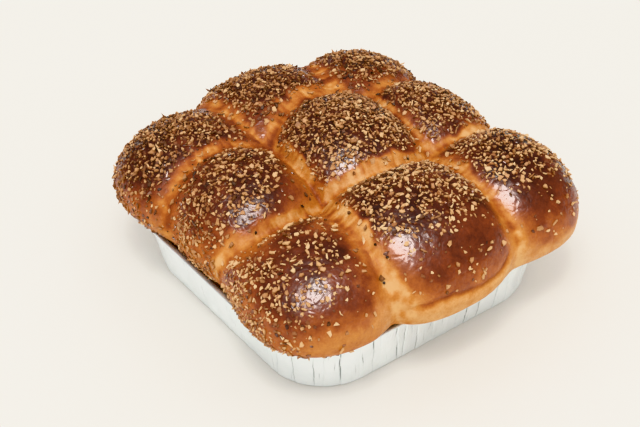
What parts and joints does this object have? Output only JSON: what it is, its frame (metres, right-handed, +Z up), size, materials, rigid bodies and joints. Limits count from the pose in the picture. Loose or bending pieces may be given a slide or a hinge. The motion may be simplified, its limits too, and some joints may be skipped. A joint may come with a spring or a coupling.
{
  "type": "pull-apart bread rolls in a foil tin",
  "caption": "Glazed bread rolls baked together into one domed loaf, topped with toasted onion and overhanging a square pleated foil tin.",
  "frame": {"origin": "middle of the flat underside of the tin", "axes": "+Z up, X and Y along the tin's sides, -Y towards the front"},
  "size_m": [0.231, 0.249, 0.1019],
  "materials": {
    "crust": "egg-glazed crust, dark brown on the crowns and golden along the creases",
    "foil": "bright rolled foil"
  },
  "bodies": {
    "root": {"bread": "crust", "foil_tin": "foil"}
  },
  "joints": []
}
